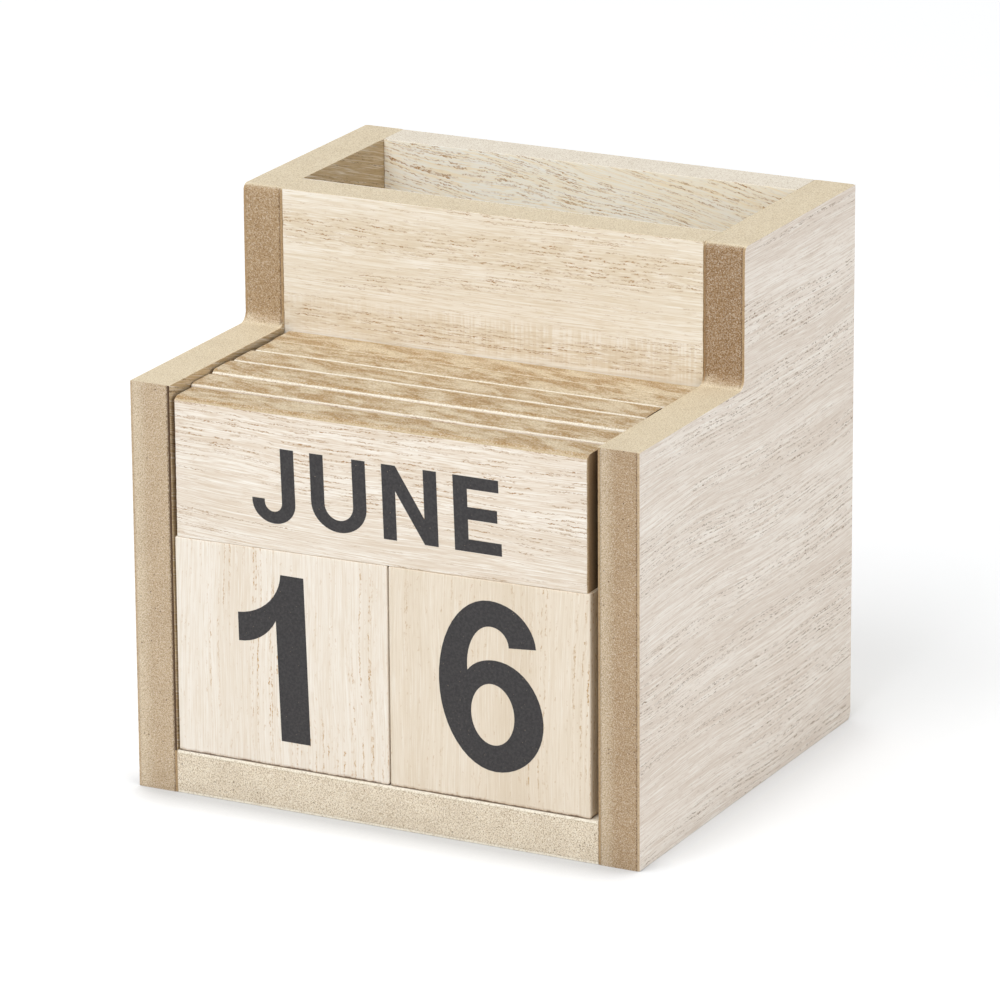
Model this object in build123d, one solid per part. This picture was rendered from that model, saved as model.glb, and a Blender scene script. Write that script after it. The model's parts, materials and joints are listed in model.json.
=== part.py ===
from build123d import *
import os

# Perpetual desk calendar with a pen compartment behind it, in millimetres.
# +Z is up, -Y is the front. The origin is the middle of the footprint, on the desk.
# Every board is a fibreboard core with a wood veneer glued to each broad face.

# Outer size of the box
overall_width = 110.0
overall_depth = 98.0
rear_height = 112.0
front_height = 83.6

# Boards of the box
core_thickness = 7.8
veneer_thickness = 0.5

# The calendar bay, from the front edges of the side panels to the partition
bay_depth = 46.2

# Rounded corners of the stepped side panels
step_fillet_radius = 2.2
shoulder_radius = 1.5
heel_radius = 1.5

# Day blocks, side by side on the floor board. They are cut a little out of square, so that their tops
# rise from the left end of the bay to its right end. Their height is at the middle of the bay.
block_height = 44.8
block_top_rise = 1.2
left_block_width = 46.7
block_edge_radius = 0.6
block_front_setback = 0.2
block_rear_clearance = 1.0
block_left_clearance = 0.4
block_middle_clearance = 0.35
block_right_clearance = 1.75

# Month planks, stood on edge on the day blocks, one behind the other, their lower edges cut to fit
plank_count = 6
plank_veneer_thickness = 0.45
plank_gap = 0.12
plank_front_setback = 0.3
plank_rear_clearance = 0.3
plank_recess = 2.1
plank_bevel_depth = 1.2

# How each plank's saw cuts differ, from the front plank to the rearmost
plank_left_clearances = (0.85, 0.30, 0.70, 1.30, 1.95, 1.50)
plank_right_clearances = (2.30, 1.10, 0.70, 1.20, 0.50, 0.80)
plank_top_gains = (0.0, 0.55, 1.25, 1.4, 1.5, 1.4)
plank_bevel_heights = (0.7, 0.3, 0.6, 0.15, 0.15, 0.15)

# Places worked out from the sizes above
board_thickness = core_thickness + 2 * veneer_thickness
left_x = -overall_width / 2
right_x = overall_width / 2
front_y = -overall_depth / 2
back_y = overall_depth / 2
bay_left_x = left_x + board_thickness
bay_right_x = right_x - board_thickness
bay_width = bay_right_x - bay_left_x
floor_top_z = board_thickness
step_y = front_y + bay_depth
block_top_z = floor_top_z + block_height
block_tops = Plane(origin=(0, 0, block_top_z), z_dir=(-block_top_rise / bay_width, 0, 1))

os.makedirs("parts", exist_ok=True)


def place_box(low, high):
    """A box between its lowest and highest corners."""
    size = [b - a for a, b in zip(low, high)]
    centre = [(a + b) / 2 for a, b in zip(low, high)]
    return Pos(*centre) * Box(*size)


def save(shape, name):
    """Write one sub-part to its own file."""
    shape.label = name
    export_step(shape, f"parts/{name}.step")


def laminate(name, low, high, axis, thickness, layer_names, cut_to=None):
    """Write the three layers of a board: a veneer, the core and the other veneer along one axis."""
    starts = (low[axis], low[axis] + thickness, high[axis] - thickness, high[axis])
    for layer, start, end in zip(layer_names, starts, starts[1:]):
        layer_low = list(low)
        layer_high = list(high)
        layer_low[axis] = start
        layer_high[axis] = end
        sheet = place_box(layer_low, layer_high)
        if cut_to:
            sheet = sheet & cut_to
        save(sheet, f"{name}_{layer}")


def stepped_outline():
    """Side view of a side panel: low beside the calendar bay, tall beside the pen compartment."""
    front_foot = (front_y, 0)
    front_top = (front_y, front_height)
    step = (step_y, front_height)
    shoulder = (step_y, rear_height)
    rear_top = (back_y, rear_height)
    heel = (back_y, 0)
    outline = make_face(Polyline(front_foot, front_top, step, shoulder, rear_top, heel, close=True))
    for corner, radius in ((step, step_fillet_radius), (shoulder, shoulder_radius), (heel, heel_radius)):
        nearest = outline.vertices().sort_by_distance((*corner, 0))[0]
        outline = fillet(nearest, radius)
    return outline


def side_panel(name, outer_x, inward):
    """A side panel, layered from its outer face towards the middle of the box."""
    outline = stepped_outline()
    reach = 0
    for layer, thickness in (
        ("outer_veneer", veneer_thickness),
        ("core", core_thickness),
        ("inner_veneer", veneer_thickness),
    ):
        start_x = outer_x + inward * reach
        sheet = extrude(Plane.YZ.offset(start_x) * outline, amount=inward * thickness)
        save(sheet, f"{name}_{layer}")
        reach += thickness


def floor_board():
    """The floor, let in between the side panels and as deep as they are."""
    laminate(
        "floor",
        (bay_left_x, front_y, 0),
        (bay_right_x, back_y, floor_top_z),
        2,
        veneer_thickness,
        ("bottom_veneer", "core", "top_veneer"),
    )


def upright_board(name, first_y, layer_names):
    """A board across the box that stands on the floor and reaches the tops of the side panels."""
    laminate(
        name,
        (bay_left_x, first_y, floor_top_z),
        (bay_right_x, first_y + board_thickness, rear_height),
        1,
        veneer_thickness,
        layer_names,
    )


def day_block(name, first_x, last_x):
    """A day block: a solid block cut along the line of the tops, with all its edges rounded."""
    blank = place_box(
        (first_x, front_y + block_front_setback, floor_top_z),
        (last_x, step_y - block_rear_clearance, block_top_z + block_top_rise),
    )
    block = split(blank, bisect_by=block_tops, keep=Keep.BOTTOM)
    save(fillet(block.edges(), block_edge_radius), name)


def day_blocks():
    """The two blocks, with the slack of the bay left at the right-hand end."""
    left_start = bay_left_x + block_left_clearance
    left_end = left_start + left_block_width
    day_block("left_day_block", left_start, left_end)
    day_block("right_day_block", left_end + block_middle_clearance, bay_right_x - block_right_clearance)


def whole_plank(low, high, bevel_height):
    """A plank cut to stand on the blocks, its top front edge sanded to a bevel through the veneer."""
    front_foot = (low[1], low[2])
    front_edge = (low[1], high[2] - bevel_height)
    bevel_end = (low[1] + plank_bevel_depth, high[2])
    rear_top = (high[1], high[2])
    rear_foot = (high[1], low[2])
    end_view = make_face(Polyline(front_foot, front_edge, bevel_end, rear_top, rear_foot, close=True))
    blank = extrude(Plane.YZ.offset(low[0]) * end_view, amount=high[0] - low[0])
    return split(blank, bisect_by=block_tops, keep=Keep.TOP)


def month_planks():
    """The month planks share the depth of the bay between them."""
    gaps = plank_front_setback + plank_rear_clearance + (plank_count - 1) * plank_gap
    thickness = (bay_depth - gaps) / plank_count
    for i in range(plank_count):
        first_y = front_y + plank_front_setback + i * (thickness + plank_gap)
        top_z = front_height - plank_recess + plank_top_gains[i]
        low = (bay_left_x + plank_left_clearances[i], first_y, block_top_z - block_top_rise)
        high = (bay_right_x - plank_right_clearances[i], first_y + thickness, top_z)
        laminate(
            f"month_plank_{i + 1}",
            low,
            high,
            1,
            plank_veneer_thickness,
            ("front_veneer", "core", "rear_veneer"),
            whole_plank(low, high, plank_bevel_heights[i]),
        )


side_panel("left_side", left_x, 1)
side_panel("right_side", right_x, -1)
floor_board()
upright_board("partition", step_y, ("front_veneer", "core", "rear_veneer"))
upright_board("back", back_y - board_thickness, ("inner_veneer", "core", "outer_veneer"))
day_blocks()
month_planks()
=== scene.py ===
import json
import math
from collections import namedtuple

import bmesh
import bpy
from mathutils import Matrix, Vector, noise

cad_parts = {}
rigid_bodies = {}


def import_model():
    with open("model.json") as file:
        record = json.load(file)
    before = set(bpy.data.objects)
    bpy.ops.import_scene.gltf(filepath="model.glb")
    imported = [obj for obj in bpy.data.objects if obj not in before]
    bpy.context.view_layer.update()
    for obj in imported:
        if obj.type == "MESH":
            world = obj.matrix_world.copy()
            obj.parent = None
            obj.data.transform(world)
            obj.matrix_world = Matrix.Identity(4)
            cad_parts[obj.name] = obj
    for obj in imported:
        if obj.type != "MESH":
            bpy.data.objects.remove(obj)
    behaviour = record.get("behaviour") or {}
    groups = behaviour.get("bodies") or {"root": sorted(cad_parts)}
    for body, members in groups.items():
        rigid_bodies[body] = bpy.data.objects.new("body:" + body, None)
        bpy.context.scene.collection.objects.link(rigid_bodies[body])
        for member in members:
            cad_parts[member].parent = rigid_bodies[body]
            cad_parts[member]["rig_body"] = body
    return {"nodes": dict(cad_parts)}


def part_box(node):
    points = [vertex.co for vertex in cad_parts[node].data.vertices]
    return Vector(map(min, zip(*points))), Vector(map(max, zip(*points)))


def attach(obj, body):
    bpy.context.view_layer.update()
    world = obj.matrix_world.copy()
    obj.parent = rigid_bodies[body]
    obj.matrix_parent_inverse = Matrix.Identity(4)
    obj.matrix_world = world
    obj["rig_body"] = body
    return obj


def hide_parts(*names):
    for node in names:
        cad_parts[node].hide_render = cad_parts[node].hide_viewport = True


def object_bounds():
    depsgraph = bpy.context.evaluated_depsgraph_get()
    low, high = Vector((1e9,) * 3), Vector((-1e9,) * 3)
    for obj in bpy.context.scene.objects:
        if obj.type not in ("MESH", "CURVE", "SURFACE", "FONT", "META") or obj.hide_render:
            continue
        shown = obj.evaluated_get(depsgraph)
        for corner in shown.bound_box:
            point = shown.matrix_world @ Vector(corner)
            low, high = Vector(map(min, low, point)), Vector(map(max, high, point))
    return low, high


# A perpetual desk calendar in veneered fibreboard. The frame gives the solid boards; here each one gets
# softened and chipped edges, its wood or fibreboard surface, and the print on the planks and blocks.

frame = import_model()
cad_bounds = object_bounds()

MM = 0.001
NODES = frame["nodes"]
BODY_OF = {node: o["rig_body"] for node, o in NODES.items()}

# Edges of the boards. A soft edge's points are pairs of rise and inset, as shares of the softening.
EDGE_SPACING = 0.45 * MM
VENEER_SOFTENING = 0.12 * MM
VENEER_CHIPS = 0.16 * MM
CORE_CHIPS = 0.03 * MM
SOFT_EDGE = ((0.0, 1.0), (0.3, 0.3), (1.0, 0.0))
SHARP_EDGE = ((0.0, 0.0),)
SIDE_FILLET = 2.2 * MM
SIDE_SHOULDER = 1.5 * MM
SIDE_HEEL = 1.5 * MM
ARC_STEP = math.radians(10)
SHARP_ANGLE = math.radians(20)
WELD = 0.001 * MM

# Day blocks
BLOCK_ROUNDING = 0.35 * MM
BLOCK_CELL = 1.1 * MM
ROUNDING_STEPS = 6

# Print
INK_THICKNESS = 0.03 * MM
INK_LEAN = math.tan(math.radians(1.8))
CURVE_STEP = 7.5
LETTER_GAP = 0.235
MONTH_LEFT = -28.2 * MM
MONTH_BOTTOM = 59.0 * MM
MONTH_HEIGHT = 15.0 * MM
MONTH_ROOM = 76.0 * MM
LEFT_FIGURE_CORNER = (-31.9 * MM, 14.3 * MM)
LEFT_FIGURE_HEIGHT = 34.1 * MM
RIGHT_FIGURE_CORNER = (12.6 * MM, 15.3 * MM)
RIGHT_FIGURE_HEIGHT = 34.5 * MM
FIGURE_HEIGHT = 34.0 * MM

# Wood, in millimetres and shares, because its nodes work in millimetres
SLICE_LEAN = 0.83
SAW_MARKS = (84.0, 90.5, 0.45)
SAW_MARKS_REACH = (-30.0, 10.0)
PORE_BELTS = ((100.0, 102.5, 107.0, 109.0), (83.0, 85.0, 88.0, 90.0))
LEFT_PITH = (-70.0, 12.0)
RIGHT_PITH = (30.0, 40.0)
# How far behind the front the painted shade on the plank ends is at its darkest
PLANK_END_DEPTH = 4.5

# Stage. The contact shade round the object leaves a share of the light in front and beside, and is at its
# deepest and ends where these shares of the surroundings are open.
FLOOR_COLOUR = (0.86, 0.87, 0.88, 1.0)
FLOOR_REACH = 4.0
FLOOR_DROP = 0.02 * MM
FLOOR_LIFT = 0.30
CONTACT_REACH = 18 * MM
CONTACT_FRONT = 0.54
CONTACT_SIDE = 0.80
CONTACT_START = 0.5
CONTACT_END = 0.92
WORLD_STRENGTH = 0.50

# Lamps: the point that they face, and each one's place, size and power
LAMP_AIM = Vector((0, 0, 0.05))
LAMPS = {
    "key_light": ((-0.22, -0.85, 1.15), 1.0, 11.5),
    "side_card": ((1.25, -0.35, 0.22), 0.9, 6.0),
    "rear_card": ((-0.9, 1.2, 0.5), 1.0, 3.0),
}

# Camera
CAMERA_PLACE = (0.58254, -1.13478, 0.45813)
CAMERA_AZIMUTH = math.radians(27.155)
CAMERA_ELEVATION = math.radians(17.628)
CAMERA_ROLL = math.radians(-0.395)
CAMERA_LENS = 243.26
CAMERA_SENSOR = 36.0
CAMERA_SIGHT = 20.0


def srgb(r, g, b):
    """A colour as it is seen on a screen, 0 to 255, turned into the renderer's linear colour."""
    channels = []
    for value in (r, g, b):
        v = value / 255
        channels.append(v / 12.92 if v <= 0.04045 else ((v + 0.055) / 1.055) ** 2.4)
    return (*channels, 1.0)


# Colours
PALEST = srgb(253, 249, 241)
PALE_FIBRE = srgb(246, 234, 208)
DUST = srgb(178, 160, 138)
GLUE = srgb(92, 68, 48)
# The brown of the painted shade along the day blocks' feet
FOOT_SHADE = srgb(150, 116, 76)
BOARD_TOP = srgb(233, 218, 188)
BACK_TOP = srgb(244, 236, 220)
LEFT_FRONT = srgb(200, 177, 146)
RIGHT_FRONT = srgb(182, 155, 121)
# The risers, the fronts above the step, are painted browner than the fronts below: painted shade.
# LEFT_RISER's brown also serves some inner veneer edges.
LEFT_RISER = srgb(181, 153, 116)
RIGHT_RISER = srgb(162, 132, 96)
FLOOR_FRONT = srgb(240, 227, 204)
CREAM_EDGE = srgb(252, 244, 226)
# The dark brown of the painted shade on the left inner veneer's front edge beside the bay
TAN_EDGE = srgb(212, 192, 158)
GAP_SHADE_EDGE = srgb(88, 66, 46)
PLANK_PALE = srgb(222, 204, 172)
PLANK_AMBER = srgb(184, 152, 106)
PLANK_END = srgb(180, 150, 116)
# The nearly black painted shade that the plank ends go into further back
PLANK_END_SHADE = srgb(52, 38, 26)
INK_DARK = srgb(56, 54, 55)
INK_PALE = srgb(70, 68, 68)

# Each wood's pale tone, deep tone and pores
SIDE_TONES = (srgb(243, 234, 223), srgb(220, 205, 190), srgb(146, 122, 98))
# The side panels' inner veneer: its own wood, painted darker with the shade that falls on the inner faces
INNER_SHADED_TONES = (srgb(202, 180, 144), srgb(174, 146, 106), srgb(92, 68, 44))
CROSS_TONES = (srgb(247, 240, 227), srgb(225, 210, 185), srgb(166, 122, 66))
# The pen compartment's veneer, painted lighter: painted light where the compartment's walls keep the lamps'
# light off
BACK_LIGHTENED_TONES = (srgb(255, 255, 248), srgb(252, 238, 208), srgb(172, 124, 58))
PLANK_TONES = (srgb(243, 235, 223), srgb(220, 203, 182), srgb(162, 120, 68))
LEFT_BLOCK_TONES = (srgb(241, 232, 219), srgb(225, 209, 187), srgb(192, 150, 94))
RIGHT_BLOCK_TONES = (srgb(234, 221, 202), srgb(216, 198, 172), srgb(184, 142, 84))

# Heights that the boards' edges change colour at
floor_top_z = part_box("floor_top_veneer")[1].z
side_low, side_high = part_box("right_side_core")
front_top_z = max(v.co.z for v in NODES["right_side_core"].data.vertices if v.co.y < side_low.y + 1 * MM)


# ---------------------------------------------------------------- node trees


class Tree:
    """Short words for building a material's nodes."""

    def __init__(self, name):
        self.material = bpy.data.materials.new(name)
        self.material.use_nodes = True
        self.tree = self.material.node_tree
        self.tree.nodes.clear()
        self.shader = self.add("ShaderNodeBsdfPrincipled")
        self.output = self.add("ShaderNodeOutputMaterial")
        self.link(self.shader.outputs[0], self.output.inputs["Surface"])
        self.shader.inputs["Specular IOR Level"].default_value = 0.3

    def add(self, kind, inputs=None, **settings):
        """A node with its settings, and its inputs by their numbers or names."""
        node = self.tree.nodes.new(kind)
        for key, value in settings.items():
            setattr(node, key, value)
        for key, value in (inputs or {}).items():
            self.put(node.inputs[key], value)
        return node

    def link(self, source, target):
        self.tree.links.new(source, target)

    def put(self, socket, value):
        """Join a socket to another node's output, or set its own value."""
        if isinstance(value, bpy.types.NodeSocket):
            self.link(value, socket)
        else:
            socket.default_value = value

    def math(self, operation, *values, clamp=False):
        inputs = dict(enumerate(values))
        return self.add("ShaderNodeMath", inputs, operation=operation, use_clamp=clamp).outputs[0]

    def times(self, a, b, clamp=False):
        return self.math("MULTIPLY", a, b, clamp=clamp)

    def plus(self, a, b):
        return self.math("ADD", a, b)

    def minus(self, a, b):
        return self.math("SUBTRACT", a, b)

    def most(self, a, b):
        return self.math("MAXIMUM", a, b)

    def size(self, value):
        return self.math("ABSOLUTE", value)

    def linear(self, value, slope, start):
        """The value times the slope, plus the start."""
        return self.math("MULTIPLY_ADD", value, slope, start)

    def span(self, value, low, high, to_low=0.0, to_high=1.0, step="SMOOTHSTEP"):
        """A value's step from one range to another, smooth or linear."""
        inputs = dict(enumerate((value, low, high, to_low, to_high)))
        return self.add("ShaderNodeMapRange", inputs, interpolation_type=step).outputs[0]

    def mix(self, factor, a, b, blend="MIX"):
        inputs = {"Factor": factor, 6: a, 7: b}
        return self.add("ShaderNodeMix", inputs, data_type="RGBA", blend_type=blend).outputs[2]

    def vector(self, x, y, z):
        return self.add("ShaderNodeCombineXYZ", {0: x, 1: y, 2: z}).outputs[0]

    def split(self, vector):
        return self.add("ShaderNodeSeparateXYZ", {0: vector}).outputs

    def noise(self, spot, detail=2.0, roughness=0.5):
        """Noise at three coordinates, with a blotch to about each unit."""
        inputs = {"Vector": self.vector(*spot), "Scale": 1.0, "Detail": detail, "Roughness": roughness}
        return self.add("ShaderNodeTexNoise", inputs).outputs["Fac"]

    def blotches(self, place, scales, detail, roughness=0.5, shift=0.0):
        """Noise with so many blotches to a millimetre, in every direction or along each axis."""
        if not isinstance(scales, tuple):
            scales = (scales, scales, scales)
        return self.noise([self.linear(p, s, shift) for p, s in zip(place, scales)], detail, roughness)

    def cells(self, dimensions, socket, spot):
        """The distance to the nearest of some scattered points, and that point's own random numbers."""
        inputs = {socket: spot, "Scale": 1.0}
        node = self.add("ShaderNodeTexVoronoi", inputs, voronoi_dimensions=dimensions, feature="F1")
        return node.outputs["Distance"], self.split(node.outputs["Color"])

    def place(self):
        """Place on the object in millimetres, and the surface's direction."""
        own = self.add("ShaderNodeTexCoord").outputs
        scaled = self.add("ShaderNodeVectorMath", {0: own["Object"], "Scale": 1 / MM}, operation="SCALE")
        return self.split(scaled.outputs[0]), self.split(own["Normal"])

    def finish(self, colour, height, relief, strength, roughness):
        """Set the surface's colour and roughness, and its relief from a height."""
        bump = self.add("ShaderNodeBump", {"Strength": strength, "Distance": relief, "Height": height})
        for key, value in (("Base Color", colour), ("Roughness", roughness), ("Normal", bump.outputs[0])):
            self.put(self.shader.inputs[key], value)
        return self.material


# ---------------------------------------------------------------- wood


class Grain:
    """Wood with its grain along one axis: where a point lies in it, and patterns that follow the grain."""

    def __init__(self, tree, place, axis, seed, wave, slant):
        self.tree = tree
        self.seed = seed
        self.place = place
        self.height = place[2]
        self.along = place[axis]
        self.sides = [place[i] for i in (2, 1, 0) if i != axis]
        across = tree.plus(self.sides[0], tree.times(self.sides[1], SLICE_LEAN))
        self.across = tree.plus(across, tree.times(self.along, slant))
        drift = tree.noise((tree.linear(self.along, 0.018, seed), tree.times(self.across, 0.05), seed), 1.0)
        self.bent = tree.linear(tree.minus(drift, 0.5), 10.0 * wave, self.across)
        self.shake = tree.noise((tree.times(self.along, 0.8), tree.times(self.across, 0.7), seed), 3.0, 0.7)
        self.torn = tree.plus(tree.minus(self.shake, 0.5), self.bent)
        self.soft = self.streaks(0.035, 1.5, 7.9, 2.0)
        self.fine = self.streaks(0.11, 5.0, 1.3, 2.0, 0.6)
        self.short = self.streaks(0.30, 3.2, 4.4)

    def streaks(self, stretch, fineness, offset, detail=1.0, roughness=0.5):
        """Noise that is drawn out along the grain."""
        t = self.tree
        spot = (t.linear(self.along, stretch, self.seed), t.times(self.bent, fineness), offset)
        return t.noise(spot, detail, roughness)

    def strung(self, spacing, width, rhythm, gate, offset):
        """Chains of small pores along the grain, each broken in its own rhythm.

        The gate is where that rhythm's noise lets the pores begin, and where they are whole."""
        t = self.tree
        distance, chance = t.cells("1D", "W", t.linear(self.torn, 1 / spacing, offset))
        start = t.linear(self.along, rhythm, t.times(chance[0], 60.0))
        own = t.times(chance[1], 30.0)
        beat = t.noise((start, own, offset), 1.0)
        bead = t.noise((t.times(self.along, 1.5), own, offset + 0.5), 1.0)
        line = t.span(distance, 0.5 * width / spacing, 0.15 * width / spacing)
        line = t.times(line, t.span(bead, 0.36, 0.56, 0.25, 1.0))
        return t.times(line, t.span(beat, *gate))

    def ground(self, pale, deep, strength):
        """Broad bands of the two tones, under fibres of three lengths."""
        t = self.tree
        band = self.streaks(0.006, 0.13, 2.2)
        colour = t.mix(t.span(band, 0.34, 0.66), pale, t.mix(0.45, pale, deep))
        for pattern, low, high, share, tone in (
            (self.soft, 0.48, 0.70, 0.65, deep),
            (self.fine, 0.50, 0.68, 0.85, deep),
            (self.short, 0.54, 0.70, 0.70, deep),
            (self.fine, 0.48, 0.30, 0.75, PALEST),
        ):
            colour = t.mix(t.times(t.span(pattern, low, high), share * strength, clamp=True), colour, tone)
        return colour

    def saw_marks(self, colour, deep, low, high, strength):
        """Short marks across the grain between two heights, stronger towards the grain's far end."""
        t = self.tree
        fleck = t.noise((t.times(self.along, 1.7), t.times(self.across, 0.06), self.seed), 1.0)
        above = t.span(self.height, low - 1.5, low + 1.0)
        below = t.span(self.height, high + 1.5, high - 1.0)
        nearer = t.span(self.along, *SAW_MARKS_REACH, 0.4 * strength, strength)
        inside = t.times(t.times(above, below), nearer)
        colour = t.mix(t.times(t.span(fleck, 0.50, 0.62), inside), colour, PALEST)
        return t.mix(t.times(t.span(fleck, 0.48, 0.36), inside), colour, deep)

    def pores(self, spacing, rhythm, zone, stray, cracks, belts):
        """Chains of pores where the growth was open, a few strays between them, and long fine cracks."""
        t = self.tree
        open_growth = t.span(self.streaks(0.014, 0.13, self.seed + 3.0, 2.0), *zone)
        for belt in belts:
            open_growth = t.most(open_growth, t.times(belt, t.span(self.soft, 0.30, 0.48)))
        dense = t.times(self.strung(spacing, 0.30, rhythm, (0.44, 0.54), 5.5), open_growth)
        sparse = t.times(self.strung(0.8 * spacing, 0.26, 1.3 * rhythm, (0.58, 0.66), 8.5), stray)
        depth = t.linear(self.streaks(0.4, 0.6, 6.6), 1.6, -0.15)
        marks = t.times(t.most(dense, sparse), depth, clamp=True)
        return t.most(marks, t.times(self.strung(6.0, 0.24, 0.06, (0.56, 0.62), 11.5), cracks))

    def end_grain(self, pale, deep, pore, pith):
        """Growth rings round the pith, and pores that are cut across."""
        t = self.tree
        reach = t.vector(t.minus(self.sides[0], pith[1]), t.minus(self.sides[1], pith[0]), 0.0)
        radius = t.add("ShaderNodeVectorMath", {0: reach}, operation="LENGTH")
        blur = t.blotches(self.place, 0.12, 2.0)
        ring_at = t.linear(blur, 3.0, t.times(radius.outputs["Value"], 0.42))
        rings = t.noise((ring_at, 0.0, self.seed), 2.0, 0.6)
        dots = t.blotches(self.place, 2.6, 1.0, 0.6)
        colour = t.mix(t.span(rings, 0.40, 0.64), pale, deep)
        return t.mix(t.times(t.span(dots, 0.56, 0.70), 0.5), colour, pore)

    def painted_foot_shade(self, colour, foot):
        """A ragged dark line along the wood's foot: painted shade where it stands on the board below."""
        t = self.tree
        rise = t.minus(t.minus(self.height, foot / MM), t.times(self.shake, 0.9))
        colour = t.mix(t.times(t.span(rise, 0.4, -0.3), 0.5), colour, FOOT_SHADE)
        return t.mix(t.times(t.span(rise, 0.0, -0.3), 0.8), colour, GLUE)


# The axis across a veneer, and the colours of its cut edge: on top, and in front from the foot up
Edges = namedtuple("Edges", "axis top foot front riser")


def plain_edges(axis, colour):
    """One colour on every cut edge."""
    return Edges(axis, colour, colour, colour, colour)


def cut_edges(t, place, direction, colour, edges):
    """A veneer's dusty cut edges, whose front changes colour above the floor board and above the step."""
    dust = t.blotches(place, 3.4, 3.0, 0.7)
    floor_top = floor_top_z / MM
    step = front_top_z / MM
    # On the side panels these colours carry painted shade: dark on the inner veneers' front edges beside the
    # bay, browner on the fronts above the step.
    front = t.mix(t.span(place[2], floor_top - 0.3, floor_top), edges.foot, edges.front)
    front = t.mix(t.span(place[2], step, step + 2.0), front, edges.riser)
    edge = t.mix(t.span(direction[1], -0.4, -0.9), edges.top, front)
    edge = t.mix(t.times(t.span(dust, 0.52, 0.36), 0.55), edge, DUST, "MULTIPLY")
    return t.mix(t.span(t.size(direction[edges.axis]), 0.88, 0.68), colour, edge)


def wood(
    name, axis, tones, seed, wave=1.0, slant=0.0, spacing=0.9, rhythm=0.8, zone=(0.46, 0.60), stray=0.35,
    cracks=0.5, fibre=1.0, saw_marks=None, pore_belts=(), edges=None, pith=None, foot=None,
):
    """Open-pored wood with its grain along one axis: fine fibres, and pores strung along the growth lines.

    Wave and slant bend the growth lines. Spacing, rhythm and zone are how far apart the chains of pores lie,
    how often they break off and how much of the wood they fill. Stray, cracks and fibre are strengths. Saw
    marks are two heights and a strength. A pore belt is the heights where pores come in, lie thick, thin out
    and end. A pith is the middle of the end grain's rings, and a foot is the height of a ragged line of
    painted shade along the wood's bottom edge."""
    pale, deep, pore = tones
    t = Tree(name)
    place, direction = t.place()
    grain = Grain(t, place, axis, seed, wave, slant)
    colour = grain.ground(pale, deep, fibre)
    if saw_marks:
        colour = grain.saw_marks(colour, deep, *saw_marks)
    belts = []
    for start, rich, poor, end in pore_belts:
        belts.append(t.times(t.span(place[2], start, rich), t.span(place[2], end, poor)))
        colour = t.mix(t.times(belts[-1], t.span(grain.short, 0.35, 0.60, 0.1, 0.8)), colour, deep)
    marks = grain.pores(spacing, rhythm, zone, stray, cracks, belts)
    colour = t.mix(marks, colour, pore)
    if pith:
        cut_across = t.span(t.size(direction[axis]), 0.6, 0.9)
        colour = t.mix(cut_across, colour, grain.end_grain(pale, deep, pore, pith))
    # A ragged line of painted shade along the foot, where the block meets the board below
    if foot is not None:
        colour = grain.painted_foot_shade(colour, foot)
    if edges:
        colour = cut_edges(t, place, direction, colour, edges)
    height = t.minus(t.times(grain.fine, 0.4), marks)
    return t.finish(colour, height, 0.05 * MM, strength=0.5, roughness=0.72)


# ---------------------------------------------------------------- fibreboard and print


def fibreboard(
    name, axis, low, high, top, front, seed, riser=None, teeth=(0.15, 0.15), pale_rim=None, contrast=1.0
):
    """The sanded or sawn edge of a fibreboard core: granular, with dark specks.

    Low and high are the core's two faces across the axis. Teeth are how strong the ragged dark glue lines are
    along them. A pale rim is the face beside which the front is paler. Contrast is that of
    the specks."""
    t = Tree(name)
    place, direction = t.place()
    grit = t.blotches(place, 4.8, 1.0, 0.6)
    grains = t.blotches(place, 2.8, 2.0, 0.7, seed)
    fibres = t.blotches(place, (4.0, 4.0, 2.0), 2.0, 0.6)
    clouds = t.blotches(place, 0.16, 2.0, 0.5, seed)
    facing_front = t.span(direction[1], -0.35, -0.9)
    if pale_rim is not None:
        beside = t.size(t.minus(place[axis], pale_rim / MM))
        front = t.mix(t.times(t.span(beside, 3.8, 0.4), 0.32), front, PALE_FIBRE)
    colour = t.mix(facing_front, top, front)
    # Above the step the front is painted browner: painted shade on the riser
    if riser:
        step = front_top_z / MM
        above = t.times(t.span(place[2], step + 0.8, step + 3.0), facing_front)
        colour = t.mix(above, colour, riser)
    strength = t.times(t.linear(facing_front, 0.10, 0.45), contrast)
    for pattern, start, end, share in (
        (clouds, 0.42, 0.66, 0.15),
        (fibres, 0.46, 0.32, 0.7),
        (grains, 0.46, 0.30, 0.5),
        (grit, 0.50, 0.34, 1.0),
    ):
        shade = t.times(t.span(pattern, start, end), t.times(strength, share))
        colour = t.mix(shade, colour, DUST, "MULTIPLY")
    light = t.times(strength, 0.42)
    colour = t.mix(t.times(t.span(grains, 0.54, 0.70), light), colour, PALEST)
    colour = t.mix(t.times(t.span(grit, 0.52, 0.66), light), colour, PALEST)
    distance, chance = t.cells("3D", "Vector", t.vector(*(t.times(p, 0.95) for p in place)))
    speck = t.times(t.span(distance, 0.20, 0.09), t.math("LESS_THAN", chance[0], 0.16))
    colour = t.mix(t.times(speck, t.times(facing_front, 0.75)), colour, GLUE)
    ragged = t.linear(fibres, 1.4, -0.35)
    for tooth, face in zip(teeth, (low, high)):
        away = t.size(t.minus(place[axis], face / MM))
        line = t.times(t.span(away, ragged, t.minus(ragged, 0.35)), tooth)
        colour = t.mix(t.times(line, facing_front), colour, GLUE)
    return t.finish(colour, grit, 0.08 * MM, strength=0.5, roughness=0.85)


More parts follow.
